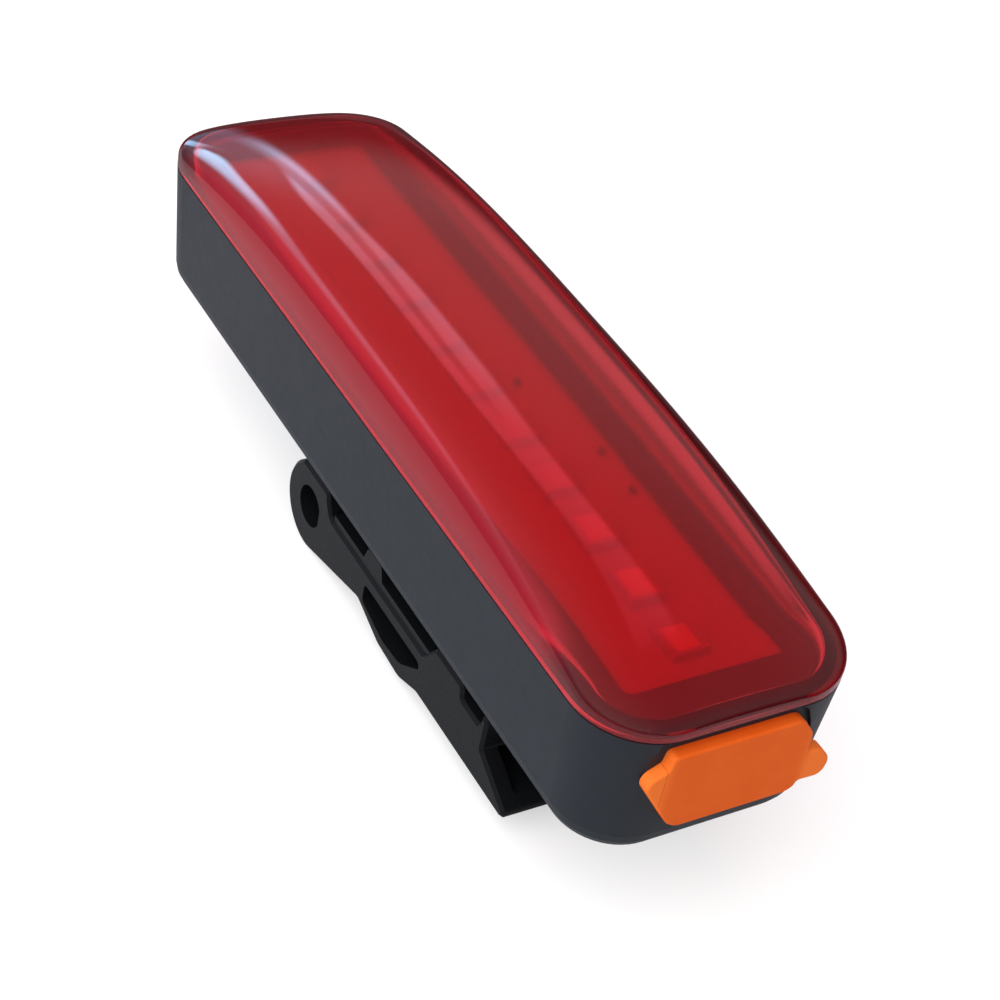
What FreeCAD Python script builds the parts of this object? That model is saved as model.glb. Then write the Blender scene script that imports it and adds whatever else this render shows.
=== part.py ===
import FreeCAD, Part
import math
import os

# A USB charged bicycle tail light: a domed red lens on a slim shell that slides onto a strap bracket.
# Millimetres. X across, Y along the light with the charging port at -Y, Z out through the lens.
# Z = 0 is the plane that the bracket's eye and saddle pad rest on.
# Y is measured from the middle of the shell while modelling and moved once at the end.

V = FreeCAD.Vector

# Shell and lens, overall
body_length = 75.0
body_width = 20.8
body_corner = 5.5
shell_depth = 11.5
lens_rise = 6.46
mount_depth = 7.5

# Shell details
wall = 1.6
floor_thickness = 1.6
side_draft = 0.7
back_edge_radius = 2.2
back_edge_steps = 5
rim_thickness = 1.0
rebate_depth = 1.7
rib_places = (-26.0, -9.0, 9.0, 26.0)
rib_length = 1.6
rib_depth = 3.65

# Lens: its rise at the start of a plan corner is given as a share of the rise in the middle
lens_wall = 1.8
lens_skirt = 0.75
lens_end_share = 0.465
lens_outer_steps = (6, 6)
lens_outer_turns = (4, 11, 20, 32, 48, 66)
lens_inner_steps = (3, 3)
lens_inner_turns = (16, 48)
lens_end_power = 2.2
lens_middle_power = 3.1
lens_lip_depth = 1.25

# LED board, its frame and what is on it
window_side_band = 3.9
window_end_band = 4.9
window_corner = 0.8
board_overlap = 0.6
board_thickness = 1.0
board_drop = 1.0
frame_bezel = 0.5
led_count = 11
led_end_room = 7.2
led_width = 2.8
led_length = 3.4
led_height = 0.8
led_window_inset = 0.35
led_window_depth = 0.3
resistor_size = (0.35, 0.6, 0.25)
resistor_shares = ((0.51, -0.022), (0.83, -0.3), (0.83, -0.435))

# Charging port and control board
port_drop = 4.2
usb_width = 8.94
usb_height = 3.26
usb_length = 7.3
usb_wall = 0.3
usb_setback = 1.1
usb_tongue_width = 6.7
usb_tongue_thickness = 0.7
usb_tongue_recess = 1.6
usb_block = 1.1
usb_leg_places = (1.9, 5.6)
usb_leg_length = 0.9
contact_count = 4
contact_pitch = 1.3
contact_width = 0.5
contact_thickness = 0.12
port_clearance = 0.35
control_thickness = 0.8
control_side_band = 3.9
control_near_gap = 2.3
control_length = 27.6
chip_height = 1.1
charge_chip = (1.9, 15.3, 3.0, 4.4)
control_chip = (-1.2, 20.9, 4.0, 5.0)
chip_lead = 0.6
pin_count = 4
pin_pitch = 2.54
pin_side = 0.64
pin_from_near = 27.3
pin_tail = 0.9
pin_entry = 0.6
screw_places = ((4.4, 11.3), (-4.6, 24.5))
screw_radius = 0.8
screw_head_radius = 1.5
screw_head_height = 0.9
screw_length = 3.0
screw_slot = 0.5
boss_radius = 1.7
rest_from_near = 3.3
rest_length = 1.2

# Cell, its foam pad and its leads
cell_side_band = 4.4
cell_near_gap = 1.2
cell_far_gap = 10.9
cell_thickness = 6.0
cell_edge = 1.2
pad_width = 9.0
pad_end_gap = 5.5
lead_radius = 0.45
lead_place = 2.54
lead_drop = 0.9
lead_bend = 0.8
lead_reach = 1.6

# Port plug, moulded in silicone, and the ear that holds it
plug_proud = 0.5
plug_recess = 0.5
plug_top_gap = 0.1
plug_height = 7.8
plug_left_band = 4.5
plug_right_band = 4.55
plug_corner = 1.3
plug_slope = (3.4, 5.85)
ear_gap = 0.15
ear_side_band = 2.7
tab_radius = 1.65
tab_side_band = 4.3
tab_drop = 5.2
tab_thickness = 0.85
plug_bevel = 0.2
ear_bevel = 0.1
plug_collar_gap = 0.32
plug_collar_length = 0.5
plug_nose_length = 0.9
plug_nose_width = 7.6
plug_nose_height = 2.3
stem_side_band = 3.9
stem_drop = 3.0
stem_radius = 0.5
stem_head_radius = 0.8
stem_head_length = 0.5
stem_grip = 2.2

# Power button at the far end, its seal and its switch
button_width = 8.0
button_height = 3.6
button_proud = 0.5
button_drop = 4.6
button_bevel = 0.4
button_flange = 0.6
button_flange_thickness = 0.8
button_depth = 2.1
button_stem_radius = 1.1
button_travel = 0.4
button_stop_gap = 0.1
seal_thickness = 0.8
seal_side_band = 3.1
seal_rib = 0.7
seal_rib_depth = 4.8
switch_width = 6.0
switch_length = 3.6
switch_far_gap = 5.7
switch_height = 4.2
plunger_radius = 0.9
plunger_proud = 1.1
plunger_tail = 0.9

# T rail on the shell's back
rail_web_width = 6.4
rail_web_height = 1.0
rail_flange_width = 10.0
rail_flange_thickness = 1.0
rail_near = -22.0
rail_far = 2.6
rail_round = 0.6

# Strap bracket
bracket_width = 17.8
bracket_gap = 0.2
rail_side_gap = 0.2
arm_face = 3.7
eye_y = 6.4
eye_outer_radius = 3.85
eye_radius = 1.75
eye_hole_y = 6.3
eye_hole_z = 4.05
eye_flat = 1.6
slot_near = -13.3
slot_far = -3.6
slot_floor = 1.75
deck_thickness = 1.1
block_near = -18.7
block_far = -13.0
block_slope = 1.5
notch_depth = 1.1
end_rib = 0.8
deck_end = -22.3
mouth_end = -26.4
mouth_inner = -15.2
foot_bottom = 1.45
foot_thickness = 1.25
foot_lip = 0.75
mouth_roof = 0.9
cheek = 1.4
edge_bevel = 0.25

# Leaf strips on the deck and the saddle pad under the foot
leaf_thickness = 0.55
leaf_gap = 0.1
leaf_side_gap = 0.5
leaf_root = 2.0
leaf_side_inset = 0.2
nub_y = -4.1
nub_length = 2.2
nub_gap = 0.15
saddle_half_width = 6.3
saddle_radius = 20.0
pad_near = -21.4
pad_far = -14.8
pad_corner = 1.0
pad_key_depth = 0.6
pad_key_inset = 1.4

# Clearances
fit_gap = 0.05
shaft_gap = 0.08
running_gap = 0.3
slide_gap = 0.1

# Levels worked out from the sizes above
half_length = body_length / 2
half_width = body_width / 2
plug_left = plug_left_band - half_width
plug_right = half_width - plug_right_band
ear_left = ear_side_band - half_width
tab_x = half_width - tab_side_band
stem_x = stem_side_band - half_width
leaf_inner = rail_flange_width / 2 + leaf_side_gap
window_width = body_width - 2 * window_side_band
window_length = body_length - 2 * window_end_band
led_pitch = (window_length - led_end_room) / (led_count - 1)
rib_inner = half_width - rib_depth
seal_rib_inner = half_width - seal_rib_depth
seal_half_width = half_width - seal_side_band
control_width = body_width - 2 * control_side_band
control_near = -half_length + control_near_gap
control_far = control_near + control_length
pin_y = -half_length + pin_from_near
rest_near = -half_length + rest_from_near
rest_far = rest_near + rest_length
cell_width = body_width - 2 * cell_side_band
cell_near = control_far + cell_near_gap
cell_far = half_length - cell_far_gap
pad_length = cell_far - cell_near - 2 * pad_end_gap
switch_far = half_length - switch_far_gap
switch_near = switch_far - switch_length
button_inner = half_length - button_depth
z_back = mount_depth
z_joint = z_back + shell_depth
z_floor = z_back + floor_thickness
z_ledge = z_joint - rebate_depth
z_board = z_joint - board_drop
z_under = z_board - board_thickness
z_port = z_joint - port_drop
z_control = z_port - usb_height / 2
z_control_under = z_control - control_thickness
z_button = z_joint - button_drop
z_cell = z_floor + cell_thickness
z_web = z_back - rail_web_height
z_rail = z_web - rail_flange_thickness
z_deck = z_rail - slide_gap
z_bracket = z_back - bracket_gap
z_foot = foot_bottom + foot_thickness
plug_front = -half_length - plug_proud
plug_back = -half_length + plug_recess
button_front = half_length + button_proud
usb_mouth = -half_length + usb_setback
saddle_rise = saddle_radius - math.sqrt(saddle_radius ** 2 - saddle_half_width ** 2)
centre_shift = (plug_proud - button_proud) / 2


def box(x0, x1, y0, y1, z0, z1):
    """A block between two corners."""
    return Part.makeBox(x1 - x0, y1 - y0, z1 - z0, V(x0, y0, z0))


def across(half, y0, y1, z0, z1):
    """A block that is centred on X."""
    return box(-half, half, y0, y1, z0, z1)


def centred(size_x, size_y, x, y, z0, z1):
    """A block of a size about a place in plan."""
    return box(x - size_x / 2, x + size_x / 2, y - size_y / 2, y + size_y / 2, z0, z1)


def rounded_wire(corners, place):
    """A closed wire through (a, b, radius) corners, with an arc at each corner that has a radius."""
    arcs = []
    count = len(corners)
    for i in range(count):
        ax, ay = corners[i - 1][:2]
        bx, by, radius = corners[i]
        cx, cy = corners[(i + 1) % count][:2]
        in_length = math.hypot(ax - bx, ay - by)
        out_length = math.hypot(cx - bx, cy - by)
        in_x, in_y = (ax - bx) / in_length, (ay - by) / in_length
        out_x, out_y = (cx - bx) / out_length, (cy - by) / out_length
        half = math.acos(max(-1.0, min(1.0, in_x * out_x + in_y * out_y))) / 2
        if radius:
            reach = radius / math.tan(half)
            bulge = radius / math.sin(half) - radius
            away = math.hypot(in_x + out_x, in_y + out_y)
            middle = (bx + (in_x + out_x) / away * bulge, by + (in_y + out_y) / away * bulge)
        else:
            reach = 0.0
            middle = None
        start = (bx + in_x * reach, by + in_y * reach)
        end = (bx + out_x * reach, by + out_y * reach)
        arcs.append((start, middle, end))
    edges = []
    for i, (start, middle, end) in enumerate(arcs):
        if middle:
            edges.append(Part.Arc(place(*start), place(*middle), place(*end)).toShape())
        following = arcs[(i + 1) % count][0]
        if math.hypot(following[0] - end[0], following[1] - end[1]) > 1e-6:
            edges.append(Part.LineSegment(place(*end), place(*following)).toShape())
    return Part.Wire(edges)


def plan(z):
    return lambda a, b: V(a, b, z)


def end_view(y):
    return lambda a, b: V(a, y, b)


def side_view(x):
    return lambda a, b: V(x, a, b)


def rectangle(half_x, half_y, radius, x=0.0, y=0.0):
    """Corners of a rounded rectangle for rounded_wire."""
    return [
        (x - half_x, y - half_y, radius),
        (x + half_x, y - half_y, radius),
        (x + half_x, y + half_y, radius),
        (x - half_x, y + half_y, radius),
    ]


def slab(half_x, half_y, radius, z0, z1, x=0.0, y=0.0):
    """A block with rounded plan corners."""
    wire = rounded_wire(rectangle(half_x, half_y, radius, x, y), plan(z0))
    return Part.Face(wire).extrude(V(0, 0, z1 - z0))


def inset_slab(inset, z0, z1):
    """The shell's plan outline, drawn in by an inset, between two heights."""
    return slab(half_width - inset, half_length - inset, body_corner - inset, z0, z1)


def end_slab(corners, y0, y1):
    """An outline in the end view, carried from one Y to another."""
    return Part.Face(rounded_wire(corners, end_view(y0))).extrude(V(0, y1 - y0, 0))


def side_slab(corners, half):
    """An outline in the side view, carried across the width."""
    return Part.Face(rounded_wire(corners, side_view(-half))).extrude(V(2 * half, 0, 0))


def stadium(width, height, y0, y1, z):
    """A bar with round ends in the end view, along Y."""
    return end_slab(rectangle(width / 2, height / 2, height / 2 - 0.01, 0.0, z), y0, y1)


def along_y(radius, x, z, y0, y1):
    return Part.makeCylinder(radius, y1 - y0, V(x, y0, z), V(0, 1, 0))


def along_z(radius, x, y, z0, z1):
    return Part.makeCylinder(radius, z1 - z0, V(x, y, z0), V(0, 0, 1))


def fuse(shapes):
    result = shapes[0]
    for shape in shapes[1:]:
        result = result.fuse(shape)
    return result.removeSplitter()


def cut(shape, tools):
    for tool in tools:
        shape = shape.cut(tool)
    return shape


def rounded(shape, radius, wanted):
    """The shape with a fillet on each edge for which wanted(edge) is true."""
    return shape.makeFillet(radius, [edge for edge in shape.Edges if wanted(edge)])


def bevelled(shape, size, wanted):
    """The shape with a small chamfer on each edge for which wanted(edge) is true."""
    return shape.makeChamfer(size, [edge for edge in shape.Edges if wanted(edge)])


def flat_in_y(y):
    return lambda edge: all(abs(vertex.Y - y) < 1e-4 for vertex in edge.Vertexes)


def flat_in_z(z):
    return lambda edge: all(abs(vertex.Z - z) < 1e-4 for vertex in edge.Vertexes)


nodes = {}


def crown_points(w, rise, share, turns):
    """Half a superellipse over one cross section, squarer the higher the lens stands there."""
    power = 2 / (lens_end_power + (lens_middle_power - lens_end_power) * share)
    side = [(-w, 0.0)]
    for turn in turns:
        x = -w * math.cos(math.radians(turn)) ** power
        side.append((x, rise * math.sin(math.radians(turn)) ** power))
    return side + [(0.0, rise)] + [(-x, z) for x, z in reversed(side)]


def lens_dome(inset, skirt, base, steps, turns):
    """Cross sections carried along the lens and drawn in round the plan corners."""
    width = half_width - inset
    corner = body_corner - inset
    reach = half_length - body_corner
    rise = lens_rise - inset - skirt
    stations = []
    corner_steps, middle_steps = steps
    for step in range(corner_steps + 1):
        part = step / corner_steps
        turn = math.radians(90 * (1 - part))
        y = reach + corner * math.sin(turn)
        stations.append((y, width - corner + corner * math.cos(turn), lens_end_share * part))
    for step in range(1, middle_steps):
        place = 1 - step / middle_steps
        stations.append((reach * place, width, 1 - (1 - lens_end_share) * place ** 3))
    stations += [(0.0, width, 1.0)] + [(-y, w, share) for y, w, share in reversed(stations)]
    wires = []
    for y, w, share in stations:
        crown = crown_points(w, rise * share, share, turns)
        corners = [(-w, base - z_joint - skirt)] + crown + [(w, base - z_joint - skirt)]
        points = [V(x, y, z_joint + skirt + z) for x, z in corners]
        wires.append(Part.makePolygon(points + points[:1]))
    return Part.makeLoft(wires, True, True)


def make_lens():
    dome = lens_dome(0.0, lens_skirt, z_joint, lens_outer_steps, lens_outer_turns)
    lip = inset_slab(rim_thickness + fit_gap, z_joint - lens_lip_depth, z_joint + lens_skirt / 2)
    inside = lens_dome(
        lens_wall, lens_skirt / 4, z_joint - lens_lip_depth - 1, lens_inner_steps, lens_inner_turns,
    )
    nodes["front_lens"] = fuse([dome, lip]).cut(inside)
    ring = inset_slab(rim_thickness + fit_gap, z_ledge, z_joint - lens_lip_depth)
    nodes["lens_gasket"] = ring.cut(inset_slab(lens_wall, z_ledge - 1, z_joint))


def drafted(levels):
    """The shell's outline through (inset, z) levels, narrower towards the back by the draft."""
    wires = []
    for inset, z in levels:
        drawn_in = inset + side_draft * (z_joint - z) / shell_depth
        corners = rectangle(half_width - drawn_in, half_length - drawn_in, body_corner - drawn_in)
        wires.append(rounded_wire(corners, plan(z)))
    return Part.makeLoft(wires, True, True)


def flap_corners(grow):
    """The plug's flap in the end view, grown by a clearance."""
    top = z_joint - plug_top_gap + grow
    bottom = z_joint - plug_top_gap - plug_height - grow
    left = plug_left - grow
    right = plug_right + grow
    run, rise = plug_slope
    foot = ear_left - grow + run
    return [
        (left, top, 0.3),
        (right - 1.1, top, plug_corner),
        (right, top - 2.6, plug_corner),
        (right, bottom, 1.1),
        (foot, bottom, 0.9),
        (left, bottom + (foot - left) * rise / run, 0.3),
    ]


def ear_corners(grow):
    """The ear that stays on the shell, beside the flap."""
    top = z_joint - plug_top_gap + grow
    right = plug_left - ear_gap + grow
    left = ear_left - grow
    bottom = z_joint - plug_top_gap - plug_height - grow
    run, rise = plug_slope
    return [
        (right, top, 0.0),
        (right, bottom + (left + run - right) * rise / run, 0.25),
        (left, bottom + rise, 0.3),
        (left + 0.2, top - 1.6, 0.3),
        (left + 1.1, top - 0.9, 0.5),
        (left + 1.3, top, 0.0),
    ]


def make_housing():
    levels = []
    for step in range(back_edge_steps + 1):
        turn = math.radians(90 * step / back_edge_steps)
        inset = back_edge_radius * (1 - math.sin(turn))
        levels.append((inset, z_back + back_edge_radius * (1 - math.cos(turn))))
    shell = drafted(levels + [(0.0, z_joint)])
    shell = shell.cut(drafted([(wall, z_floor), (wall, z_joint + 1)]))
    shell = shell.cut(inset_slab(rim_thickness, z_ledge, z_joint + 1))
    outside = drafted([(wall / 2, z_back), (wall / 2, z_joint)])
    inner_pieces = []
    for y in rib_places:
        for side in (-1, 1):
            x = side * (rib_inner + half_width) / 2
            rib = centred(half_width - rib_inner, rib_length, x, y, z_floor - 0.3, z_under)
            inner_pieces.append(rib.common(outside))
    for x, y in screw_spots():
        inner_pieces.append(along_z(boss_radius, x, y, z_floor - 0.3, z_control_under))
    inner_pieces.append(across(control_width / 2 - 1, rest_near, rest_far, z_floor - 0.3, z_control_under))
    seal_far = button_inner - button_flange_thickness - button_travel - button_stop_gap
    for y0 in (seal_far - seal_thickness - fit_gap - seal_rib, seal_far + fit_gap):
        for side in (-1, 1):
            x = side * (seal_rib_inner + half_width) / 2
            rib = centred(half_width - seal_rib_inner, seal_rib, x, y0 + seal_rib / 2, z_floor - 0.3, z_under)
            inner_pieces.append(rib.common(outside))
    web = across(rail_web_width / 2, rail_near, rail_far, z_web - 0.1, z_back + 0.3)
    flange = slab(
        rail_flange_width / 2, (rail_far - rail_near) / 2, rail_round, z_rail, z_web,
        y=(rail_far + rail_near) / 2,
    )
    shell = fuse([shell, web, flange] + inner_pieces)
    end = -half_length - 1
    shell = cut(shell, [
        stadium(usb_width + 2 * port_clearance, usb_height + 2 * port_clearance,
                end, -half_length + 2 * wall, z_port),
        end_slab(flap_corners(ear_gap), end, plug_back),
        end_slab(ear_corners(fit_gap), end, plug_back),
        along_y(tab_radius + running_gap, tab_x, z_joint - tab_drop, end, plug_back),
        along_y(stem_radius + fit_gap, stem_x, z_joint - stem_drop, end, -half_length + 2 * wall),
        stadium(button_width + 2 * running_gap, button_height + 2 * running_gap,
                half_length - 2 * wall, half_length + 1, z_button),
    ])
    for x, y in screw_spots():
        bottom = z_control - screw_length
        shell = shell.cut(along_z(screw_radius + fit_gap, x, y, bottom - fit_gap, z_joint))
    nodes["rear_housing"] = shell


def make_led_board():
    half_x = window_width / 2 + board_overlap
    half_y = window_length / 2 + board_overlap
    board = slab(half_x, half_y, window_corner, z_under, z_board)
    holes = [
        centred(pin_side + 2 * fit_gap, pin_side + 2 * fit_gap, x, pin_y, z_under - 1, z_under + pin_entry)
        for x in pin_xs()
    ]
    nodes["led_board"] = cut(board, holes)
    inset = lens_wall + 0.15
    frame = inset_slab(inset, z_under, z_board + frame_bezel)
    frame = frame.cut(slab(half_x + fit_gap, half_y + fit_gap, window_corner, z_under - 1, z_board))
    frame = frame.cut(slab(window_width / 2, window_length / 2, window_corner, z_under, z_joint))
    nodes["board_frame"] = frame
    packages = []
    windows = []
    top = z_board + led_height
    for i in range(led_count):
        y = (i - (led_count - 1) / 2) * led_pitch
        package = centred(led_width, led_length, 0.0, y, z_board, top)
        window_x = led_width - 2 * led_window_inset
        window_y = led_length - 2 * led_window_inset
        package = package.cut(centred(window_x, window_y, 0.0, y, top - led_window_depth, top + 1))
        packages.append(package)
        size_x = window_x - 2 * fit_gap
        size_y = window_y - 2 * fit_gap
        windows.append(centred(size_x, size_y, 0.0, y, top - led_window_depth, top - fit_gap))
    nodes["led_packages"] = Part.Compound(packages)
    nodes["led_windows"] = Part.Compound(windows)
    size_x, size_y, height = resistor_size
    nodes["board_resistors"] = Part.Compound([
        centred(size_x, size_y, x * window_width / 2, y * window_length / 2, z_board, z_board + height)
        for x, y in resistor_shares
    ])


def screw_spots():
    return [(x, y - half_length) for x, y in screw_places]


def pin_xs():
    return [(i - (pin_count - 1) / 2) * pin_pitch for i in range(pin_count)]


def make_control_board():
    middle = (control_near + control_far) / 2
    half_y = (control_far - control_near) / 2
    board = slab(control_width / 2, half_y, 0.6, z_control_under, z_control, y=middle)
    for x in pin_xs():
        side = pin_side + 2 * fit_gap
        board = board.cut(centred(side, side, x, pin_y, z_control_under - 1, z_control + 1))
    screws = []
    for x, y in screw_spots():
        board = board.cut(along_z(screw_radius + fit_gap, x, y, z_control_under - 1, z_control + 1))
        head = along_z(screw_head_radius, x, y, z_control, z_control + screw_head_height)
        shank = along_z(screw_radius, x, y, z_control - screw_length, z_control)
        top = z_control + screw_head_height
        bars = [
            centred(size_x, size_y, x, y, top - screw_slot, top + 1)
            for size_x, size_y in ((1.7, 0.4), (0.4, 1.7))
        ]
        screws.append(cut(fuse([head, shank]), bars))
    nodes["control_board"] = board
    nodes["board_screws"] = Part.Compound(screws)
    nodes["board_pins"] = Part.Compound([
        centred(pin_side, pin_side, x, pin_y, z_control_under - pin_tail, z_under + pin_entry - fit_gap)
        for x in pin_xs()
    ])
    for name, (x, from_near, size_x, size_y) in (("charge_chip", charge_chip), ("control_chip", control_chip)):
        y = from_near - half_length
        body = centred(size_x, size_y, x, y, z_control + 0.1, z_control + chip_height)
        pieces = [body]
        rows = int(size_y / 1.0)
        for i in range(rows):
            lead_y = y + (i - (rows - 1) / 2) * 1.0
            pieces.append(centred(size_x + 2 * chip_lead, 0.4, x, lead_y, z_control, z_control + 0.3))
        nodes[name] = fuse(pieces)


def make_port():
    back = usb_mouth + usb_length
    shell = stadium(usb_width, usb_height, usb_mouth, back, z_port)
    inner_width = usb_width - 2 * usb_wall
    inner_height = usb_height - 2 * usb_wall
    shell = shell.cut(stadium(inner_width, inner_height, usb_mouth - 1, back + 1, z_port))
    legs = []
    for place in usb_leg_places:
        for side in (-1, 1):
            x = side * (usb_width - usb_wall) / 2
            y = usb_mouth + place + usb_leg_length / 2
            legs.append(centred(usb_wall, usb_leg_length, x, y, z_control, z_port))
    nodes["usb_shell"] = fuse([shell] + legs)
    block = stadium(inner_width - 2 * fit_gap, inner_height - 2 * fit_gap, back - usb_block, back, z_port)
    half = usb_tongue_thickness / 2
    tip = usb_mouth + usb_tongue_recess
    tongue = across(usb_tongue_width / 2, tip, back - usb_block / 2, z_port - half, z_port + half)
    tongue = bevelled(tongue, 0.2, flat_in_y(tip))
    nodes["usb_tongue"] = fuse([block, tongue])
    contacts = []
    for i in range(contact_count):
        x = (i - (contact_count - 1) / 2) * contact_pitch
        for z in (z_port + half, z_port - half - contact_thickness):
            y = (tip + 0.5 + back - usb_block) / 2
            length = back - usb_block - tip - 0.6
            contacts.append(centred(contact_width, length, x, y, z, z + contact_thickness))
    nodes["usb_contacts"] = Part.Compound(contacts)


def make_plug():
    flap = end_slab(flap_corners(0.0), plug_front, plug_back - fit_gap)
    tab = along_y(tab_radius, tab_x, z_joint - tab_drop, plug_front, plug_front + tab_thickness)
    flap = fuse([flap, tab])
    flap = bevelled(flap, plug_bevel, flat_in_y(plug_front))
    collar = stadium(
        usb_width + 2 * (port_clearance - plug_collar_gap), usb_height + 2 * (port_clearance - plug_collar_gap),
        plug_back - fit_gap, plug_back + plug_collar_length, z_port,
    )
    nose_end = plug_back + plug_collar_length + plug_nose_length
    nose = stadium(plug_nose_width, plug_nose_height, plug_back, nose_end, z_port)
    nose = bevelled(nose, 0.25, flat_in_y(nose_end))
    nodes["port_plug"] = fuse([flap, collar, nose])
    ear = end_slab(ear_corners(0.0), plug_front, plug_back)
    ear = bevelled(ear, ear_bevel, flat_in_y(plug_front))
    z = z_joint - stem_drop
    stem = along_y(stem_radius, stem_x, z, plug_back - 0.1, plug_back + stem_grip)
    head = along_y(stem_head_radius, stem_x, z, plug_back + stem_grip, plug_back + stem_grip + stem_head_length)
    nodes["plug_anchor"] = fuse([ear, stem, head])


def make_button():
    cap = stadium(button_width, button_height, button_inner - 0.1, button_front, z_button)
    cap = bevelled(cap, button_bevel, flat_in_y(button_front))
    flange_near = button_inner - button_flange_thickness
    flange = stadium(
        button_width + 2 * button_flange, button_height + 2 * button_flange, flange_near, button_inner, z_button,
    )
    stem_end = switch_far + plunger_proud + fit_gap
    stem = along_y(button_stem_radius, 0.0, z_button, stem_end, flange_near)
    nodes["power_button"] = fuse([cap, flange, stem])
    seal_far = flange_near - button_travel - button_stop_gap
    seal = across(seal_half_width, seal_far - seal_thickness, seal_far, z_floor, z_under - fit_gap)
    hole = along_y(button_stem_radius + shaft_gap, 0.0, z_button, seal_far - 2, seal_far + 1)
    nodes["button_seal"] = seal.cut(hole)
    body = across(switch_width / 2, switch_near, switch_far, z_under - switch_height, z_under)
    bore_near = switch_far - plunger_tail - button_travel - 0.3
    bore = along_y(plunger_radius + shaft_gap, 0.0, z_button, bore_near, switch_far + 1)
    nodes["switch_body"] = body.cut(bore)
    nodes["switch_plunger"] = along_y(
        plunger_radius, 0.0, z_button, switch_far - plunger_tail, switch_far + plunger_proud,
    )


def make_cell():
    cell = across(cell_width / 2, cell_near, cell_far, z_floor, z_cell)
    nodes["battery_cell"] = rounded(cell, cell_edge, lambda edge: abs(edge.tangentAt(0).y) > 0.99)
    middle = (cell_near + cell_far) / 2
    nodes["battery_pad"] = slab(pad_width / 2, pad_length / 2, 1.0, z_cell, z_under, y=middle)
    leads = []
    for x in (-lead_place, lead_place):
        z = z_cell - lead_drop
        turn_y = cell_near - lead_reach
        end_y = turn_y - lead_bend
        slant = lead_bend * math.sqrt(0.5)
        path = Part.Wire([
            Part.LineSegment(V(x, cell_near, z), V(x, turn_y, z)).toShape(),
            Part.Arc(V(x, turn_y, z), V(x, turn_y - slant, z - lead_bend + slant),
                     V(x, end_y, z - lead_bend)).toShape(),
            Part.LineSegment(V(x, end_y, z - lead_bend), V(x, end_y, z_control)).toShape(),
        ])
        turns = [math.radians(60 * i) for i in range(7)]
        ring = Part.makePolygon([
            V(x + lead_radius * math.cos(turn), cell_near, z + lead_radius * math.sin(turn)) for turn in turns
        ])
        leads.append(path.makePipeShell([ring], True, False))
    nodes["battery_leads"] = Part.Compound(leads)


def saddle_tool(y0, y1):
    """The round bar that the back of the bracket is hollowed to straddle."""
    return along_y(saddle_radius, 0.0, saddle_rise - saddle_radius, y0, y1)


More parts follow.
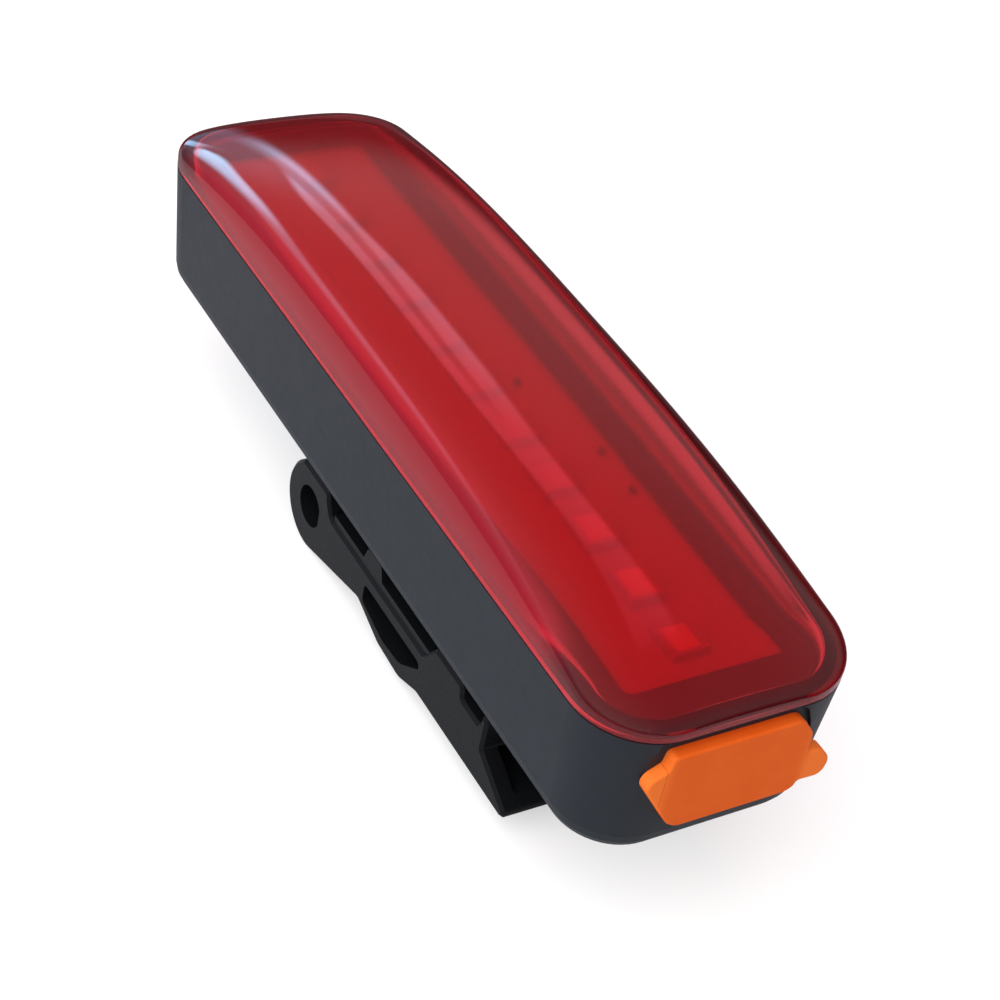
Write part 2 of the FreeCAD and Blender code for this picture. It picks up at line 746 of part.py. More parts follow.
def make_bracket():
    half = bracket_width / 2
    eye_z = eye_outer_radius
    slope = 0.24
    lean = math.hypot(1, slope)
    waist_z = eye_z - eye_outer_radius * lean + slope * (eye_y + 2.9)
    outline = [
        (eye_y, z_bracket, 0),
        (arm_face, z_bracket, 0.4),
        (arm_face, z_deck, 0.3),
        (block_far, z_deck, 0.5),
        (block_far - block_slope, z_bracket, 0.6),
        (block_near, z_bracket, 0.5),
        (block_near, z_bracket - notch_depth, 0.5),
        (deck_end + end_rib, z_bracket - notch_depth, 0.5),
        (deck_end + end_rib, z_bracket, 0.35),
        (deck_end, z_bracket, 0.35),
        (deck_end, z_deck - mouth_roof, 0.4),
        (mouth_end, foot_bottom + foot_lip, 0.32),
        (mouth_end, foot_bottom, 0.4),
        (slot_near + 0.2, foot_bottom, 1.5),
        (-10.4, 0.5, 2.2),
        (-6.7, 0.75, 3.0),
        (-2.9, waist_z, 1.0),
        (eye_y - eye_outer_radius * slope / lean, eye_z - eye_outer_radius / lean, 0),
        (eye_y, eye_z, 0),
    ]
    body = side_slab(outline, half)
    eye = Part.makeCylinder(eye_outer_radius, bracket_width, V(-half, eye_y, eye_z), V(1, 0, 0))
    body = fuse([body, eye]).cut(across(half + 1, 0, eye_y + 6, z_bracket, z_bracket + 2)).removeSplitter()
    in_side = lambda edge: all(abs(abs(vertex.X) - half) < 1e-4 for vertex in edge.Vertexes)
    body = bevelled(body, edge_bevel, in_side)
    hole = Part.makeCylinder(eye_radius, bracket_width + 2, V(-half - 1, eye_hole_y, eye_hole_z), V(1, 0, 0))
    hole = hole.cut(across(half + 2, eye_hole_y - 2 * eye_radius, eye_hole_y - eye_flat, 0, z_back))
    slot = side_slab([
        (slot_far, z_deck - deck_thickness, 0.45),
        (slot_far, 2.6, 0.5),
        (-7.3, slot_floor - 0.05, 2.2),
        (-10.2, slot_floor + 0.15, 2.0),
        (slot_near, 4.0, 0.4),
        (slot_near + 0.9, z_deck - deck_thickness, 0.3),
    ], half + 1)
    mouth = across(half - cheek, mouth_end - 1, mouth_inner, z_foot, z_deck - mouth_roof)
    open_far = block_far + 1
    flange_way = across(
        rail_flange_width / 2 + rail_side_gap, deck_end - 1, open_far, z_deck, z_web + slide_gap,
    )
    web_way = across(rail_web_width / 2 + rail_side_gap, deck_end - 1, open_far, z_deck, z_back)
    body = cut(body, [hole, slot, mouth, flange_way, web_way])
    key_half = saddle_half_width - pad_key_inset
    key_middle = (pad_near + pad_far) / 2
    key_length = (pad_far - pad_near) / 2 - pad_key_inset
    pocket_top = foot_bottom + pad_key_depth
    body = cut(body, [
        slab(key_half + fit_gap, key_length + fit_gap, 0.5, 0, pocket_top + fit_gap, y=key_middle),
        saddle_tool(mouth_end - 1, eye_y + eye_outer_radius + 1),
    ])
    leaf_z0 = z_deck + leaf_gap
    leaf_z1 = leaf_z0 + leaf_thickness
    root = block_far - leaf_root
    strips = []
    for side in (-1, 1):
        x0 = side * leaf_inner
        x1 = side * (half - leaf_side_inset)
        low, high = min(x0, x1), max(x0, x1)
        body = body.cut(box(
            low - fit_gap, high + fit_gap + leaf_side_inset, root - fit_gap, open_far,
            z_deck, leaf_z1 + fit_gap,
        ))
        strip = box(low, high, root, rail_far, leaf_z0, leaf_z1)
        root_foot = box(low, high, root, block_far - 0.6, z_deck, leaf_z0)
        nub = side_slab([
            (nub_y - nub_length / 2 - 0.5, leaf_z1 - 0.1, 0),
            (nub_y + nub_length / 2 + 0.5, leaf_z1 - 0.1, 0),
            (nub_y + nub_length / 2, z_back - nub_gap, 0.4),
            (nub_y - nub_length / 2, z_back - nub_gap, 0.4),
        ], half).common(box(low, high, nub_y - 4, nub_y + 4, z_deck, z_back))
        strips.append(fuse([strip, root_foot, nub]))
    nodes["strap_bracket"] = body
    nodes["bracket_leaf"] = Part.Compound(strips)
    pad = slab(saddle_half_width, (pad_far - pad_near) / 2, pad_corner, -1, foot_bottom, y=key_middle)
    key = slab(key_half, key_length, 0.45, 0, pocket_top, y=key_middle)
    nodes["post_pad"] = cut(fuse([pad, key]), [
        saddle_tool(pad_near - 1, pad_far + 1),
        across(half, pad_near - 1, pad_far + 1, -2, 0),
    ])


make_lens()
make_housing()
make_led_board()
make_control_board()
make_port()
make_plug()
make_button()
make_cell()
make_bracket()

os.makedirs("parts", exist_ok=True)
for name, shape in nodes.items():
    shape.translate(V(0, centre_shift, 0))
    shape.exportStep("parts/" + name + ".step")
    print(name, len(shape.Solids), shape.isValid(), round(shape.Volume, 1))
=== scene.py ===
import math

import bmesh
import bpy
from mathutils import Matrix, Vector


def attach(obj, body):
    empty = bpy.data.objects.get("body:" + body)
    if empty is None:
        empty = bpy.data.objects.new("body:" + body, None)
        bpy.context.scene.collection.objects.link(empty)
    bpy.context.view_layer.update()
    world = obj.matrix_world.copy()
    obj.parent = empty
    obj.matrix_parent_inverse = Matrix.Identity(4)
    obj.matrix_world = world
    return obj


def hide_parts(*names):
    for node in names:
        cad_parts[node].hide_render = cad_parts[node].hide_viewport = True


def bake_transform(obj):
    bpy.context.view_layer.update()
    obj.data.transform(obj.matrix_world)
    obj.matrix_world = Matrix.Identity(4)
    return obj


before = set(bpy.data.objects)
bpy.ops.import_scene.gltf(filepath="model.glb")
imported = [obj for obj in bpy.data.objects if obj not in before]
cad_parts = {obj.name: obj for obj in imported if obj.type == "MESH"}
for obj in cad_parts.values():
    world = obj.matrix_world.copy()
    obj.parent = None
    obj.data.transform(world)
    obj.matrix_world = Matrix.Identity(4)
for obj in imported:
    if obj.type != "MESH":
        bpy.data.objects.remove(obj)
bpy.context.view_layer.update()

MM = 0.001

# Sizes are in millimetres

# The shell's outline, and the plane where the lens stands on it, as in the solids
BODY_HALF_WIDTH = 10.4
BODY_CORNER = 5.5
CORNER_Y = 32.0
Z_JOINT = 19.0

# Lens, the same dome as in the solids: where the corners start, its height has fallen to a share
# of the middle's, and its section is less full, by a lower power
LENS_RISE = 6.46
LENS_SKIRT = 0.75
LENS_WALL = 1.8
LENS_END_SHARE = 0.465
LENS_END_POWER = 2.2
LENS_POWER_GAIN = 0.9
LENS_EDGE = 0.15
LIP_INSET = 1.05
LIP_DEPTH = 1.25

# The grid that a dome is made of, the share of its rows that lies between the corners, and how
# its columns crowd towards the rim
LENS_COLUMNS = 72
LENS_ROWS = 128
LENS_STRAIGHT_SHARE = 0.75
LENS_EVEN_SHARE = 0.25
LENS_CROWDING = 1.6

# Roughness of the lens
LENS_OUTSIDE = 0.035
LENS_INSIDE = 0.14

# Port plug: its plate, rounder and lower than in the solids, with corners as (x, z, radius), then
# what is behind the plate
Z_PORT = 14.8
PLUG_FRONT = -37.96
PLUG_BACK = -37.0
PLUG_RIM = 0.22
PLUG_RIM_FLAT = 0.05
PLUG_CORNERS = (
    (-5.7, 18.1, 0.4), (4.6, 18.1, 1.0), (5.8, 16.5, 1.0), (5.93, 14.8, 0.2), (7.1, 14.6, 1.1),
    (8.15, 13.3, 1.0), (7.9, 11.8, 0.85), (5.8, 11.9, 0.25), (5.65, 11.05, 1.2),
    (-4.35, 11.05, 1.6), (-7.7, 16.15, 0.9), (-5.9, 17.0, 0.4),
)
SEAM = -5.97
SEAM_GAP = 0.02
COLLAR = (9.0, 3.32)
COLLAR_SINK = 0.2
COLLAR_LENGTH = 0.5
NOSE = (7.6, 2.3)
NOSE_LENGTH = 1.4
NOSE_RIM = 0.3

# Stem of the ear, with its steps as (radius, y, y), and the web between the ear and the flap
STEM_X = -6.5
STEM_Z = 16.0
STEM_STEPS = ((0.5, -37.1, -34.8), (0.8, -34.8, -34.3))
WEB_SIZE = (0.6, 0.5, 2.6)
WEB_SINK = 0.3
WEB_Z = 15.4

# Copper runs on the LED board
RUN_X = 4.3
RUN_HALF_WIDTH = 0.22

# Outputs of the Texture Coordinate and Light Path nodes
DIRECTION, OBJECT = 0, 3
CAMERA_RAY, SHADOW_RAY, GLOSSY_RAY, TRANSMISSION_RAY = 0, 1, 3, 6


# Materials


class Socket:
    """A value in a material. Sums, products and comparisons of these add Math nodes."""

    def __init__(self, finish, socket):
        self.finish = finish
        self.socket = socket

    def maths(self, operation, *values):
        return self.finish.node("ShaderNodeMath", {"operation": operation}, dict(enumerate(values)))

    def __add__(self, other):
        return self.maths("ADD", self, other)

    def __sub__(self, other):
        return self.maths("SUBTRACT", self, other)

    def __rsub__(self, other):
        return self.maths("SUBTRACT", other, self)

    def __mul__(self, other):
        return self.maths("MULTIPLY", self, other)

    def __pow__(self, other):
        return self.maths("POWER", self, other)

    def __lt__(self, other):
        return self.maths("LESS_THAN", self, other)

    def __abs__(self):
        return self.maths("ABSOLUTE", self)

    __radd__ = __add__
    __rmul__ = __mul__

    def between(self, low, high):
        """0 at low, 1 at high and a smooth step in between."""
        return self.finish.node(
            "ShaderNodeMapRange", {"interpolation_type": "SMOOTHSTEP"},
            {"Value": self, "From Min": low, "From Max": high},
        )


class Finish:
    """A material, or the world, under construction."""

    def __init__(self, name, tree=None):
        if tree is None:
            self.material = bpy.data.materials.new(name)
            self.material.use_nodes = True
            tree = self.material.node_tree
        self.tree = tree
        tree.nodes.clear()

    def node(self, kind, settings=None, sockets=None, out=0):
        """Adds a node with its settings first, then its values or links, and gives one output."""
        node = self.tree.nodes.new(kind)
        for name, value in (settings or {}).items():
            setattr(node, name, value)
        for name, value in (sockets or {}).items():
            if isinstance(value, Socket):
                self.tree.links.new(value.socket, node.inputs[name])
            else:
                node.inputs[name].default_value = value
        return Socket(self, node.outputs[out]) if node.outputs else None

    def spot(self):
        """The place on the piece, in its own metres."""
        return self.node("ShaderNodeTexCoord", out=OBJECT)

    def parts(self, vector):
        """The x, y and z of a vector."""
        return [
            self.node("ShaderNodeSeparateXYZ", None, {"Vector": vector}, out) for out in range(3)
        ]

    def rays(self, *kinds):
        """For each kind, 1 on rays of that kind and 0 on others."""
        return [self.node("ShaderNodeLightPath", out=kind) for kind in kinds]

    def clouds(self, size, detail=2.0, roughness=0.5, stretch=(1.0, 1.0, 1.0)):
        """Noise whose patches are about size millimetres across."""
        spot = self.node("ShaderNodeMapping", None, {"Vector": self.spot(), "Scale": stretch})
        return self.node("ShaderNodeTexNoise", None, {
            "Vector": spot, "Scale": 1 / (size * MM), "Detail": detail, "Roughness": roughness,
        })

    def blend(self, share, first, second):
        """A colour between two. The Mix node has its colours at sockets 6 and 7, and gives 2."""
        return self.node("ShaderNodeMix", {"data_type": "RGBA"}, {
            0: share,
            6: first if isinstance(first, Socket) else (*first, 1.0),
            7: second if isinstance(second, Socket) else (*second, 1.0),
        }, 2)

    def bump(self, height, depth, strength=1.0):
        """A bump whose height of 0 to 1 stands for depth millimetres."""
        return self.node("ShaderNodeBump", None, {
            "Height": height, "Strength": strength, "Distance": depth * MM,
        })

    def plastic(self, **sockets):
        named = {name.replace("_", " "): value for name, value in sockets.items()}
        return self.node("ShaderNodeBsdfPrincipled", None, named)

    def done(self, surface):
        self.node("ShaderNodeOutputMaterial", None, {"Surface": surface})
        return self.material


def shade(colour, factor):
    return tuple(channel * factor for channel in colour)


def moulding(name, colour, roughness, grain_size=0.12, grain_depth=0.004, gloss=0.5):
    """Moulded plastic: a fine spark grain, faint flow clouds and handled, uneven gloss."""
    f = Finish(name)
    flow = f.clouds(4.0, 3.0)
    grain = f.clouds(grain_size, 3.0, 0.6)
    handled = f.clouds(1.1, 4.0, 0.65)
    tint = f.blend(flow, shade(colour, 0.88), shade(colour, 1.12))
    return f.done(f.plastic(
        Base_Color=tint, Roughness=roughness + (handled - 0.5) * 0.14, Specular_IOR_Level=gloss,
        Normal=f.bump(grain, grain_depth),
    ))


def silicone(name, colour, pale, roughness=0.5, sheen=0.2, gloss=0.4, thin=None):
    """Soft silicone: slightly dusty and uneven, with a sheen at grazing angles.

    Beyond thin millimetres from the middle it lets more light through and is paler."""
    f = Finish(name)
    cast = f.clouds(2.4, 4.0, 0.6)
    dust = f.clouds(0.35, 3.0, 0.7)
    share = cast * 0.4 + dust * 0.2
    if thin:
        across = f.parts(f.spot())[0]
        share = share + abs(across).between(thin * MM, (thin + 2.0) * MM) * 1.2
    tint = f.blend(share, colour, pale)
    return f.done(f.plastic(
        Base_Color=tint, Roughness=roughness + (dust - 0.5) * 0.2, Specular_IOR_Level=gloss,
        Sheen_Weight=sheen, Sheen_Roughness=0.4, Normal=f.bump(f.clouds(0.15, 3.0), 0.003),
    ))


def metal(name, colour, roughness=0.3, stretch=(1.0, 0.1, 1.0)):
    """Drawn or rolled metal, with faint lines along its stretch."""
    f = Finish(name)
    drawn = f.clouds(0.3, 4.0, 0.7, stretch)
    tint = f.blend(drawn, shade(colour, 0.82), colour)
    return f.done(f.plastic(
        Base_Color=tint, Metallic=1.0, Roughness=roughness + (drawn - 0.5) * 0.2,
        Normal=f.bump(drawn, 0.001),
    ))


def lens_red(name, roughness):
    """Clear red polycarbonate. Light on its way in passes it as through a filter.

    A small share is haze, the plastic's own. At the left shoulder a larger share is painted light:
    it makes the wall on that side brighter, as light falling from the left would."""
    f = Finish(name)
    x, y, _ = f.parts(f.spot())
    # Painted light: more haze at the left shoulder, so that side of the lens looks lit from the
    # left
    painted_glow_shoulder = x.between(-8.6 * MM, -9.8 * MM)
    painted_glow_shoulder = painted_glow_shoulder * y.between(-31.0 * MM, -27.0 * MM) * y.between(33.0 * MM, 25.0 * MM)
    body = f.plastic(
        Base_Color=(0.57, 0.02, 0.032, 1.0), Roughness=roughness + f.clouds(9.0, 2.0) * 0.02,
        IOR=1.49, Transmission_Weight=1.0, Normal=f.bump(f.clouds(7.0, 2.0), 0.004, 0.5),
    )
    haze = f.plastic(Base_Color=(0.75, 0.025, 0.055, 1.0), Roughness=0.6, Specular_IOR_Level=0.0)
    clear = f.node("ShaderNodeMixShader", None, {0: 0.05 + painted_glow_shoulder * 0.14, 1: body, 2: haze})
    tinted = f.node("ShaderNodeBsdfTransparent", None, {"Color": (0.75, 0.05, 0.08, 1.0)})
    in_shadow = f.rays(SHADOW_RAY)[0]
    return f.done(f.node("ShaderNodeMixShader", None, {0: in_shadow, 1: clear, 2: tinted}))


def board_white():
    """White solder mask over two copper runs, which show as low ridges beside the LEDs."""
    f = Finish("board_white")
    across = f.parts(f.spot())[0]
    run = (abs(abs(across) - RUN_X * MM) < RUN_HALF_WIDTH * MM) * 0.6
    mask = f.clouds(2.0, 3.0)
    tint = f.blend(mask * 0.4 + run * 0.5, (0.66, 0.64, 0.61), (0.56, 0.54, 0.5))
    return f.done(f.plastic(
        Base_Color=tint, Roughness=0.36 + (f.clouds(0.4, 3.0) - 0.5) * 0.1,
        Normal=f.bump(run + f.clouds(0.2) * 0.1, 0.03),
    ))


def led_red():
    """Clear resin over the dies.

    Its colour holds painted light: the windows at the port's end are painted brighter, and further
    along they fade to the board's own colour.
    """
    f = Finish("led_red")
    along = f.parts(f.spot())[1]
    # Painted light: windows are painted brighter towards the port's end
    painted_near_light = along.between(-8.0 * MM, -22.0 * MM)
    resin = f.clouds(0.6, 3.0)
    tint = f.blend(painted_near_light * 0.9 + resin * 0.1, (0.64, 0.5, 0.42), (0.98, 0.5, 0.4))
    return f.done(f.plastic(
        Base_Color=tint, Roughness=0.12 + resin * 0.1, Normal=f.bump(resin, 0.02),
    ))


def dress(nodes, finish):
    """Gives CAD nodes a finish."""
    for name in nodes:
        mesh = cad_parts[name].data
        mesh.materials.clear()
        mesh.materials.append(finish)


# Pieces


def inset_in_plan(point, amount):
    """The point of the light's outline moved inwards, along the outline's own normal."""
    corner_x = BODY_HALF_WIDTH - BODY_CORNER
    middle = Vector((
        max(-corner_x, min(corner_x, point.x)), max(-CORNER_Y, min(CORNER_Y, point.y)), 0.0,
    ))
    out = Vector((point.x, point.y, 0.0)) - middle
    length = out.length
    return middle + out * ((length - amount) / length)


def crown_point(across, along, inset, skirt):
    """A point of the lens dome for places of -1 to 1 across and along it."""
    corner = BODY_CORNER - inset
    part = min(1.0, (1 - abs(along)) / (1 - LENS_STRAIGHT_SHARE))
    turn = math.radians(90 * (1 - part))
    if part < 1:
        place, share = 1.0, LENS_END_SHARE * part
    else:
        place = abs(along) / LENS_STRAIGHT_SHARE
        share = 1 - (1 - LENS_END_SHARE) * place ** 3
    y = math.copysign(CORNER_Y * place + corner * math.sin(turn), along)
    width = BODY_HALF_WIDTH - inset - corner + corner * math.cos(turn)
    power = 2 / (LENS_END_POWER + LENS_POWER_GAIN * share)
    inner = 1 - abs(across)
    crowded = LENS_EVEN_SHARE * inner + (1 - LENS_EVEN_SHARE) * inner ** LENS_CROWDING
    climb = math.radians(90 * crowded)
    x = width * math.cos(climb) ** power if inner > 0 else width
    x = math.copysign(x, across) if inner < 1 else 0.0
    z = (LENS_RISE - inset - skirt) * share * math.sin(climb) ** power
    return Vector((x, y, Z_JOINT + skirt + z))


def boundary(edges):
    return [edge for edge in edges if edge.is_valid and len(edge.link_faces) == 1]


def step_down(mesh, edges, z, inset_by=0.0):
    """Extrudes an open rim to the height z, drawn in by inset_by, and gives its new rim."""
    grown = bmesh.ops.extrude_edge_only(mesh, edges=edges)["geom"]
    for vertex in (item for item in grown if isinstance(item, bmesh.types.BMVert)):
        if inset_by:
            drawn = inset_in_plan(vertex.co, inset_by)
            vertex.co.x, vertex.co.y = drawn.x, drawn.y
        vertex.co.z = z
    return boundary([item for item in grown if isinstance(item, bmesh.types.BMEdge)])


def add_dome(mesh, inset, skirt):
    """Adds one side of the lens wall, from a flat grid laid over the dome, and gives its rim."""
    grid = bmesh.ops.create_grid(
        mesh, x_segments=LENS_COLUMNS, y_segments=LENS_ROWS, size=1.0,
    )["verts"]
    edges = {edge for vertex in grid for edge in vertex.link_edges}
    for vertex in grid:
        vertex.co = crown_point(vertex.co.x, vertex.co.y, inset, skirt)
    return boundary(edges)


def finish_piece(name, mesh, body, finish, replaced, crease=35):
    """Turns a bmesh in millimetres into a piece that rides on its body."""
    bmesh.ops.remove_doubles(mesh, verts=mesh.verts, dist=0.001)
    bmesh.ops.recalc_face_normals(mesh, faces=mesh.faces)
    bmesh.ops.scale(mesh, vec=(MM, MM, MM), verts=mesh.verts)
    for face in mesh.faces:
        face.smooth = True
    for edge in mesh.edges:
        if len(edge.link_faces) == 2 and edge.calc_face_angle(0.0) > math.radians(crease):
            edge.smooth = False
    data = bpy.data.meshes.new(name)
    mesh.to_mesh(data)
    mesh.free()
    piece = bpy.data.objects.new(name, data)
    bpy.context.scene.collection.objects.link(piece)
    data.materials.append(finish)
    if replaced:
        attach(piece, body)
        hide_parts(*replaced)
    return piece


def make_lens():
    """The domed lens: outside, skirt, the lip that stands in the shell, and the duller inside."""
    mesh = bmesh.new()
    rim = add_dome(mesh, 0.0, LENS_SKIRT)
    rim = step_down(mesh, rim, Z_JOINT + LENS_EDGE)
    rim = step_down(mesh, rim, Z_JOINT, LENS_EDGE)
    rim = step_down(mesh, rim, Z_JOINT, LIP_INSET - LENS_EDGE)
    rim = step_down(mesh, rim, Z_JOINT - LIP_DEPTH)
    outside = set(mesh.faces)
    inner_rim = add_dome(mesh, LENS_WALL, LENS_SKIRT / 4)
    for face in mesh.faces:
        face.material_index = 0 if face in outside else 1
    inner_rim = step_down(mesh, inner_rim, Z_JOINT - LIP_DEPTH)
    bmesh.ops.bridge_loops(mesh, edges=rim + inner_rim)
    outer = lens_red("lens_red", LENS_OUTSIDE)
    lens = finish_piece("lens", mesh, "light", outer, ["front_lens"])
    lens.data.materials.append(lens_red("lens_red_inside", LENS_INSIDE))


def end_plate(mesh, corners, y0, y1, rim=0.0, turns=6):
    """An outline of (x, z, radius) corners in the end view, carried from y0 to y1.

    Its edge at y0 is rounded by rim, with a narrow flat strip inside it, so that the rounding
    leaves no shadow on the rest of the front."""
    earlier = set(mesh.faces)
    spots = [mesh.verts.new((x, y0, z)) for x, z, _ in corners]
    mesh.faces.new(spots)
    for i, (vertex, (x, z, radius)) in enumerate(zip(spots, corners)):
        before = Vector(corners[i - 1][:2]) - Vector((x, z))
        after = Vector(corners[(i + 1) % len(corners)][:2]) - Vector((x, z))
        bmesh.ops.bevel(
            mesh, geom=[vertex], offset=radius / math.tan(before.angle(after) / 2), segments=turns,
            offset_type="OFFSET", profile=0.5, affect="VERTICES", material=-1,
        )
    face = next(face for face in mesh.faces if face not in earlier)
    rim_edges = face.edges[:]
    grown = bmesh.ops.extrude_face_region(mesh, geom=[face], use_keep_orig=True)["geom"]
    moved = [item for item in grown if isinstance(item, bmesh.types.BMVert)]
    bmesh.ops.translate(mesh, vec=(0.0, y1 - y0, 0.0), verts=moved)
    if rim:
        bmesh.ops.bevel(
            mesh, geom=rim_edges, offset=rim, segments=4, profile=0.5, affect="EDGES", material=-1,
        )
        at_y0 = [
            face for face in mesh.faces
            if face not in earlier and abs(face.calc_center_bounds().y - y0) < 0.01
        ]
        front = max(at_y0, key=lambda face: face.calc_area())
        bmesh.ops.inset_region(mesh, faces=[front], thickness=PLUG_RIM_FLAT)


def bar_outline(width, height, z):
    """Corners of a bar with round ends in the end view."""
    x, reach, radius = width / 2, height / 2, height / 2 - 0.01
    return [
        (-x, z - reach, radius), (x, z - reach, radius),
        (x, z + reach, radius), (-x, z + reach, radius),
    ]


def half_plate(side):
    """The plug's flap (side 1) or its ear (side -1): one plate, parted at the seam."""
    mesh = bmesh.new()
    end_plate(mesh, PLUG_CORNERS, PLUG_FRONT, PLUG_BACK, PLUG_RIM)
    bmesh.ops.bisect_plane(
        mesh, geom=mesh.verts[:] + mesh.edges[:] + mesh.faces[:], dist=1e-5,
        plane_co=(SEAM + side * SEAM_GAP, 0.0, 0.0), plane_no=(side, 0.0, 0.0), clear_inner=True,
    )
    bmesh.ops.holes_fill(mesh, edges=[edge for edge in mesh.edges if edge.is_boundary], sides=0)
    return mesh


def make_plug(orange):
    """The flap with its pull tab, and the collar and nose that go into the port."""
    mesh = half_plate(1)
    collar = bar_outline(*COLLAR, Z_PORT)
    end_plate(mesh, collar, PLUG_BACK - COLLAR_SINK, PLUG_BACK + COLLAR_LENGTH)
    end_plate(mesh, bar_outline(*NOSE, Z_PORT), PLUG_BACK + NOSE_LENGTH, PLUG_BACK, NOSE_RIM)
    finish_piece("plug", mesh, "plug", orange, ["port_plug"], 50)


def make_ear(orange):
    """The ear beside the flap, with the stem and head that hold it in the end wall."""
    mesh = half_plate(-1)
    along_y = Matrix.Rotation(math.pi / 2, 4, "X")
    for radius, y0, y1 in STEM_STEPS:
        middle = Matrix.Translation((STEM_X, (y0 + y1) / 2, STEM_Z))
        bmesh.ops.create_cone(
            mesh, cap_ends=True, segments=24, radius1=radius, radius2=radius, depth=y1 - y0,
            matrix=middle @ along_y,
        )
    finish_piece("plug_ear", mesh, "light", orange, ["plug_anchor"], 50)


def make_web(orange):
    """The thin silicone hinge between the ear and the flap."""
    mesh = bmesh.new()
    bmesh.ops.create_cube(mesh, size=1.0)
    bmesh.ops.scale(mesh, vec=WEB_SIZE, verts=mesh.verts)
    bmesh.ops.translate(mesh, vec=(SEAM, PLUG_FRONT + WEB_SINK, WEB_Z), verts=mesh.verts)
    across = [edge for edge in mesh.edges if abs(edge.verts[0].co.x - edge.verts[1].co.x) > 0.1]
    bmesh.ops.subdivide_edges(mesh, edges=across, cuts=8, use_grid_fill=True)
    web = finish_piece("plug_web", mesh, "light", orange, [])
    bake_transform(web)


# Studio


def make_floor():
    """A round sheet of pale paper.

    Reflections see it greyer, and nearly black right of the part and behind its right half."""
    mesh = bmesh.new()
    bmesh.ops.create_circle(mesh, cap_ends=True, radius=0.26, segments=96)
    data = bpy.data.meshes.new("floor")
    mesh.to_mesh(data)
    mesh.free()
    floor = bpy.data.objects.new("floor", data)
    bpy.context.scene.collection.objects.link(floor)
    f = Finish("floor")
    seen, mirrored = f.rays(CAMERA_RAY, GLOSSY_RAY)
    x, y, _ = f.parts(f.spot())
    near = 1 - (1 - y.between(0.08, 0.04) * x.between(0.07, 0.03)) * x.between(-0.03, 0.0)
    mirror_image = f.blend(near, (0.03, 0.03, 0.03), (0.46, 0.48, 0.5))
    sheet = f.blend(seen, f.blend(mirrored, (0.6, 0.6, 0.6), mirror_image), (0.97, 0.97, 0.97))
    paper = f.plastic(Base_Color=sheet, Roughness=0.9, Specular_IOR_Level=0.2)
    white = f.node("ShaderNodeEmission", None, {"Color": (1.0, 1.0, 1.0, 1.0), "Strength": 1.0})
    surface = f.node("ShaderNodeMixShader", None, {0: seen * 0.5, 1: paper, 2: white})
    data.materials.append(f.done(surface))


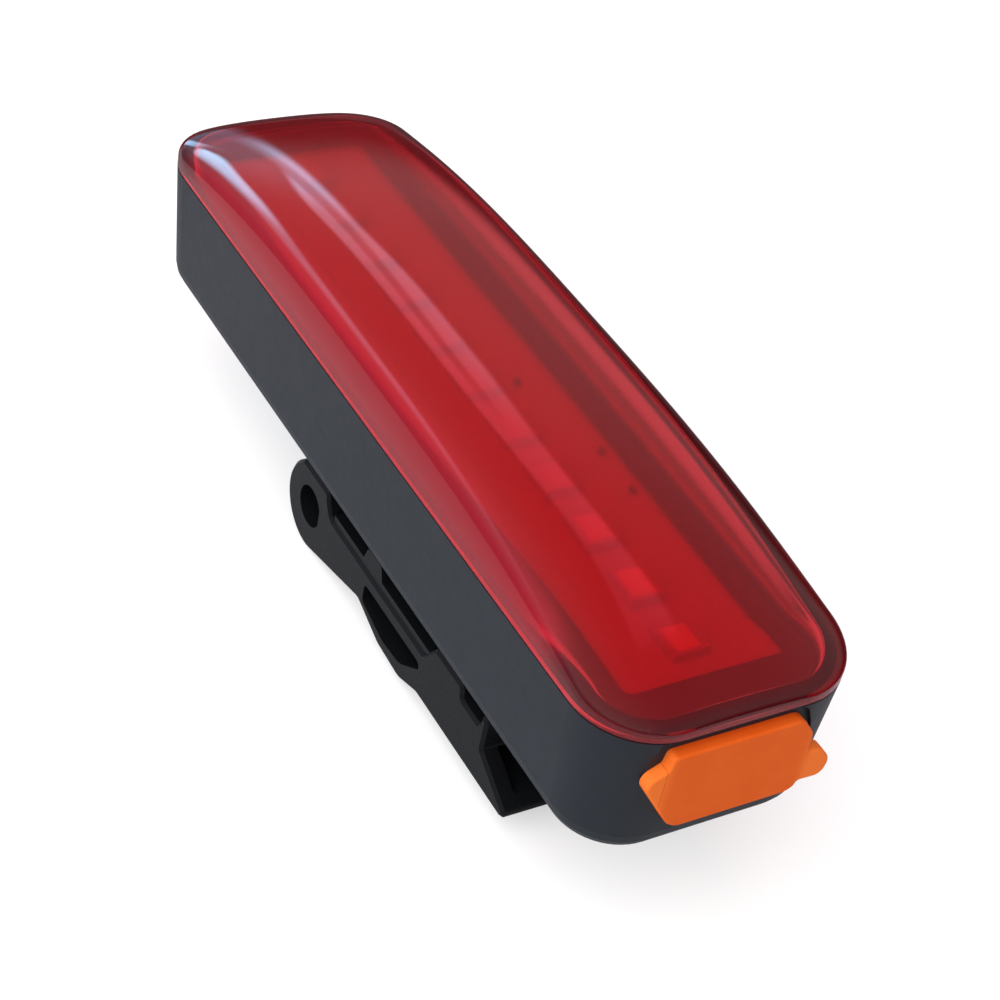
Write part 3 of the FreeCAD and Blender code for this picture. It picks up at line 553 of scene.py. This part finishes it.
def make_world():
    """A dim pale room. The camera, and light that has passed the lens, see plain white instead.

    x, y and z are the direction that a ray looks in. A level window strip and an upright curtain
    strip, both behind the part, make the two long highlights on the lens. The soft light is at the
    left and above."""
    world = bpy.data.worlds.new("studio")
    bpy.context.scene.world = world
    world.use_nodes = True
    f = Finish("studio", world.node_tree)
    look = f.node("ShaderNodeTexCoord", out=DIRECTION)
    x, y, z = f.parts(look)
    seen, mirrored, through = f.rays(CAMERA_RAY, GLOSSY_RAY, TRANSMISSION_RAY)

    # Window: the level strip, a start for it further right and lower, and a faint veil beside it
    lower = z + x.between(-0.3, 0.1) * 0.1
    level = lower.between(0.32, 0.42) * lower.between(0.52, 0.45)
    strip = y.between(0.2, 0.4) * level * (x + z.between(0.31, 0.51) * 0.24).between(0.1, 0.04)
    beside = y.between(0.6, 0.8) * z.between(-0.1, -0.03)
    start = beside * x.between(0.05, 0.09) * x.between(0.19, 0.15) * z.between(0.3, 0.12)
    veil = beside * x.between(-0.15, 0.05) * x.between(0.37, 0.32) * z.between(0.55, 0.35)
    window = f.node("ShaderNodeBackground", None, {
        "Color": f.blend(x.between(-0.62, -0.45), (0.8, 0.6, 0.85), (0.37, 0.7, 1.0)),
        "Strength": (
            strip * (x.between(-0.85, -0.5) * 2.2 + x.between(-0.44, -0.2) * 7.5)
            + start * 4 + veil * 0.3
        ),
    })

    # Curtain: the upright strip between two bowed sides, with one dark fold, and a faint wall
    left = (x - z.between(0.55, 0.3) * 0.1 - z.between(0.72, 0.95) * 0.12).between(0.17, 0.21)
    right = (x - z.between(0.5, 0.65) * 0.055 - z.between(0.7, 1.0) * 0.14).between(0.36, 0.33)
    fold = x.between(0.25, 0.28) * x.between(0.33, 0.3) * z.between(0.76, 0.68)
    hung = y.between(0.05, 0.2) * left * right * (1 - fold * 0.6)
    wall = y.between(0.1, 0.35) * z.between(-0.12, -0.06)
    wall = wall * x.between(0.36, 0.32) * z.between(0.8, 0.2)
    cloth = f.blend(z.between(0.42, 0.55), (0.45, 0.68, 1.0), (0.6, 0.35, 0.48))
    curtain = f.node("ShaderNodeBackground", None, {
        "Color": f.blend(z.between(0.56, 0.74), cloth, (0.72, 0.09, 0.14)),
        "Strength": hung * z.between(0.05, 0.36) * z.between(1.1, 0.7) * 4.1 + wall * 0.28,
    })

    # Room: the soft light, low lights at both sides, and a dim rest that reflections see darker
    azimuth = math.radians(198)
    toward = f.node("ShaderNodeVectorMath", {"operation": "DOT_PRODUCT"}, {
        0: look, 1: (0.6 * math.cos(azimuth), 0.6 * math.sin(azimuth), 0.8),
    }, 1)
    soft = toward.between(0.35, 1.0) ** 1.5 * (1 - mirrored * 0.85)
    low = z.between(-0.02, 0.08) * z.between(0.7, 0.3) * (1 - mirrored)
    sides = x.between(-0.5, -0.95) * 1.4 + x.between(0.3, 0.8) * 0.5
    dim = z.between(0.0, 0.06) * z.between(1.2, 0.5) * (1 - mirrored * z.between(0.4, 0.05))
    room = f.node("ShaderNodeBackground", None, {
        "Color": (1.0, 0.97, 0.96, 1.0),
        "Strength": 0.08 - mirrored * 0.05 + dim * 0.42 + soft * 2.5 + low * sides,
    })

    lights = f.node("ShaderNodeAddShader", None, {0: window, 1: curtain})
    lit = f.node("ShaderNodeAddShader", None, {0: room, 1: lights})
    white = f.node("ShaderNodeBackground", None, {"Color": (1.0, 1.0, 1.0, 1.0), "Strength": 1.0})
    both = f.node("ShaderNodeMixShader", None, {0: seen + through, 1: lit, 2: white})
    f.node("ShaderNodeOutputWorld", None, {"Surface": both})


def make_camera():
    """The camera at the photograph's place, as fitted to the light's edges."""
    data = bpy.data.cameras.new("camera")
    data.sensor_width = 36.0
    data.lens = 77.277
    data.clip_start = 0.01
    data.clip_end = 20.0
    camera = bpy.data.objects.new("camera", data)
    bpy.context.scene.collection.objects.link(camera)
    right = Vector((0.86367917, -0.47539743, 0.167498))
    down = Vector((-0.19018307, -0.61510712, -0.76516249))
    ahead = Vector((0.46678549, 0.62899961, -0.62166775))
    turned = Matrix((right, -down, -ahead)).transposed().to_4x4()
    camera.matrix_world = Matrix.Translation((-0.075217, -0.107607, 0.112736)) @ turned
    bpy.context.scene.camera = camera


make_camera()
make_floor()
make_world()
make_lens()

dress(["rear_housing"], moulding("housing_grey", (0.0145, 0.018, 0.0235), 0.42, gloss=0.15))
dress(["board_frame"], moulding("frame_brown", (0.085, 0.07, 0.06), 0.5))
dress(["usb_tongue", "switch_body"], moulding("frame_black", (0.02, 0.018, 0.017), 0.4))
dress(["led_board"], board_white())
dress(["led_packages"], moulding("led_body", (0.62, 0.6, 0.57), 0.3, 0.2, 0.002))
dress(["led_windows"], led_red())
dress(
    ["board_resistors", "charge_chip", "control_chip"],
    moulding("chip_black", (0.02, 0.02, 0.021), 0.4, 0.1),
)
dress(["control_board"], moulding("board_green", (0.02, 0.15, 0.06), 0.3, 0.3, 0.006))
dress(["board_screws", "usb_shell", "switch_plunger"], metal("steel", (0.62, 0.62, 0.63)))
dress(["board_pins", "usb_contacts"], metal("gold", (0.83, 0.62, 0.27), 0.25))

orange = silicone("silicone_orange", (0.58, 0.072, 0.002), (0.72, 0.15, 0.02), 0.6, 0.0, 0.1, 5.0)
make_plug(orange)
make_ear(orange)
make_web(orange)

dress(
    ["lens_gasket", "button_seal"],
    silicone("silicone_grey", (0.09, 0.09, 0.1), (0.14, 0.14, 0.15)),
)
dress(["power_button"], silicone("button_rubber", (0.03, 0.03, 0.033), (0.055, 0.055, 0.06)))
dress(["battery_cell"], metal("cell_foil", (0.72, 0.72, 0.75), 0.35, (1.0, 1.0, 1.0)))
dress(["battery_pad"], moulding("foam_black", (0.03, 0.03, 0.03), 0.95, 0.5, 0.08, 0.2))
dress(["battery_leads"], moulding("lead_red", (0.42, 0.02, 0.02), 0.35))
dress(
    ["strap_bracket", "bracket_leaf"],
    moulding("bracket_black", (0.005, 0.0055, 0.0065), 0.28, 0.2, 0.003, 0.1),
)
dress(["post_pad"], moulding("pad_rubber", (0.02, 0.02, 0.02), 0.75, 0.3, 0.02, 0.3))

bpy.context.scene.view_settings.view_transform = "Standard"
